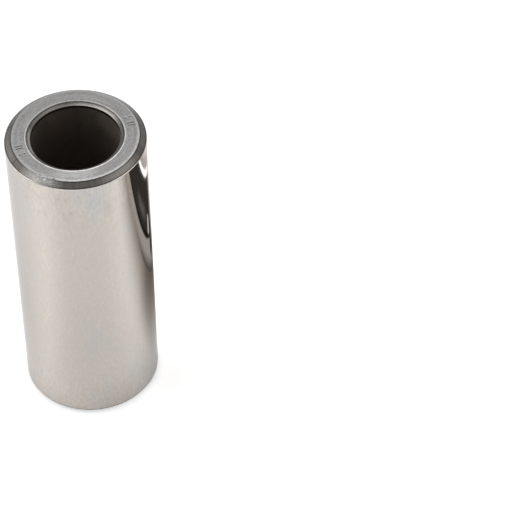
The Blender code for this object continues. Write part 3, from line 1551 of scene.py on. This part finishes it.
@dataclass
class PaintedReflectionMat:
    """A painted reflection of a lying dark roll and its shadow: a glowing sheet on the table beside the pin. It shows
    only in the pin's polish.

    The pairs are fades, in millimetres along the mat from its near end or across it from its middle line, away
    from the pin.
    """

    near_end: Pair = (21.4 * MM, 22.8 * MM)
    heading: float = -38.8
    length: float = 54.0
    reach: float = 28.0
    level: float = 0.1 * MM
    near_squeeze: float = 2.0
    corner_along: Pair = (26.0, 12.0)
    corner_away: Pair = (25.0, 8.0)
    corner_cover: float = 0.42
    strip_near: Pair = (-5.0, -4.2)
    strip_far: Pair = (26.0, 21.0)
    strip_start: Pair = (-11.0, 3.0)
    strip_centre: Pair = (-2.4, -31.2)
    strip_radius: Pair = (78.0, 66.0)
    side_tone: float = 0.50
    # A painted shadow where the roll meets the table, a dark band with a faint painted highlight, and light bands
    # that paint highlights.
    painted_contact_shadow: Band = Band(0.12, ((0.5, -4.2),), ((50.0, 12.0),))
    dark: Band = Band(0.045, ((4.1, 4.7),), lean=0.08)
    edge: Band = Band(0.010, ((6.8, 5.4),), lean=0.08)
    painted_sheen: Band = Band(0.15, ((7.5, 10.0), (13.5, 11.0)), ((12.0, 18.0), (34.0, 26.0)), lean=0.08)
    light_bands: tuple[Band, ...] = (
        Band(2.1, ((18.8, 19.2),), lean=0.02),
        Band(0.62, ((20.8, 21.3),), lean=0.02),
        Band(0.75, ((4.4, 5.4), (10.0, 8.8)), ((10.5, 8.5), (4.0, 6.0))),
        Band(0.010, ((-2.0, 0.5), (10.0, 8.0)), ((5.6, 3.6),)),
    )
    # The painted shadow's tone and hue.
    painted_shadow_tone: float = 0.05
    painted_shadow_hue: Colour = (1.9, 1.0, 0.35)
    strip_hue: Colour = grey(1.0, 0.05)
    white_hue: Colour = (0.95, 0.98, 1.01)
    white_from: Pair = (17.6, 18.8)

    def build(self) -> None:
        """Lay the mat where only mirrored rays meet it."""
        mesh = bpy.data.meshes.new("painted_reflection_mat")
        start, end, side = -self.reach * MM, (self.length + self.reach) * MM, self.reach * MM
        corners = [(start, -side, 0.0), (end, -side, 0.0), (end, side, 0.0), (start, side, 0.0)]
        mesh.from_pydata(corners, [], [(0, 1, 2, 3)])
        mesh.materials.append(self._material())
        mat = bpy.data.objects.new("painted_reflection_mat", mesh)
        mat.location = (*self.near_end, self.level)
        mat.rotation_euler.z = math.radians(self.heading)
        mat.visible_camera = False
        mat.visible_diffuse = False
        mat.visible_shadow = False
        mat.visible_transmission = False
        bpy.context.scene.collection.objects.link(mat)

    def _material(self) -> bpy.types.Material:
        """A painted shadow that fades toward the pin, and a strip along it with sharp bands of painted reflection.

        Returns:
            The material.
        """
        material = bpy.data.materials.new("painted_reflection_mat")
        material.use_nodes = True
        graph = ShaderGraph(material.node_tree)
        spot = graph.spot()
        painted_shadow, strip = self._painted_shadow(spot), self._strip(spot)
        shade = self.painted_shadow_tone + (self._bands(spot.x, spot.y) - self.painted_shadow_tone) * strip
        hue = graph.mix(spot.y.between(*self.white_from), self.strip_hue, self.white_hue)
        hue = graph.mix(strip, self.painted_shadow_hue, hue)
        light = graph.mix(1.0, hue, shade, "MULTIPLY")
        glow = graph.node("ShaderNodeEmission", {}, {"Color": light, "Strength": 1.0})
        clear = graph.node("ShaderNodeBsdfTransparent", {}, {})
        covered = graph.math("MAXIMUM", painted_shadow, strip)
        both = graph.node("ShaderNodeMixShader", {}, {0: covered, 1: clear, 2: glow})
        graph.node("ShaderNodeOutputMaterial", {}, {"Surface": both})
        return material

    def _painted_shadow(self, spot: Spot) -> Signal:
        """How much of the table the painted shadow covers: all of it on the middle line, and less outward from there.

        Args:
            spot: The shaded point of the mat.

        Returns:
            The share that is covered.
        """
        graph, along = spot.graph, spot.x
        beyond = graph.math("MAXIMUM", 0.0 - along * self.near_squeeze, along - self.length)
        away = graph.length(graph.math("MAXIMUM", beyond, 0.0), spot.y)
        fading = away.between(self.reach, 0.0, smooth=False)
        corner = along.between(*self.corner_along) * away.between(*self.corner_away) * self.corner_cover
        return 1.0 - (1.0 - fading * fading) * (1.0 - corner)

    def _strip(self, spot: Spot) -> Signal:
        """Where the banded strip lies, within a circle that rounds its far corners.

        Args:
            spot: The shaded point of the mat.

        Returns:
            1 on the strip and 0 beside it.
        """
        out = spot.graph.length(spot.x - self.strip_centre[0], spot.y - self.strip_centre[1])
        across = spot.y.between(*self.strip_near) * spot.y.between(*self.strip_far)
        return across * spot.x.between(*self.strip_start) * out.between(*self.strip_radius)

    def _bands(self, along: Signal, across: Signal) -> Signal:
        """How light the painted reflection on the strip is.

        From the pin outward it is grey, then dark with a faint painted highlight, a painted white stripe, and grey
        again. Near its start a light sliver and a dark border cross the dark band.

        Args:
            along: The distance along the strip from its near end, in millimetres.
            across: The distance across it from its middle line, away from the pin.

        Returns:
            The tone.
        """
        darkness = self.painted_sheen.over(self.edge.over(self.dark.tone, along, across), along, across)
        tone = self.painted_contact_shadow.over(self.side_tone, along, across)
        tone = self.dark.over(tone, along, across, own=darkness)
        for band in self.light_bands:
            tone = band.over(tone, along, across)
        return tone


@dataclass
class StudioCamera:
    """A long lens a third of a metre up, looking down on the pin and past it."""

    place: tuple[float, float, float] = (0.0, -0.28252, 0.33157)
    heading: float = 5.621
    dip: float = 47.352
    roll: float = 0.368
    focal_length: float = 180.58
    sensor: float = 36.0

    def build(self) -> None:
        """Put the camera in the scene."""
        data = bpy.data.cameras.new("camera")
        data.lens = self.focal_length
        data.sensor_width = self.sensor
        camera = bpy.data.objects.new("camera", data)
        aim = Euler((math.radians(90.0 - self.dip), 0.0, math.radians(-self.heading))).to_matrix()
        turned = aim @ Matrix.Rotation(math.radians(-self.roll), 3, "Z")
        camera.rotation_euler = turned.to_euler()
        camera.location = self.place
        bpy.context.scene.collection.objects.link(camera)
        bpy.context.scene.camera = camera


def main() -> None:
    """Build the studio and the pin, and report each piece."""
    logging.basicConfig(level=logging.INFO, format="%(name)s: %(message)s")
    bpy.context.scene.view_settings.view_transform = "Standard"
    low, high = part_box(NODE)
    Studio().build()
    PaintedReflectionMat().build()
    StudioCamera().build()
    pin = TurnedPin(outer_radius=(high.x - low.x) / 2, length=high.z - low.z)
    piece = pin.build()
    LOG.info("%s has %d faces and %d finishes", piece.name, len(piece.data.polygons), len(piece.data.materials))


if __name__ == "__main__":
    main()
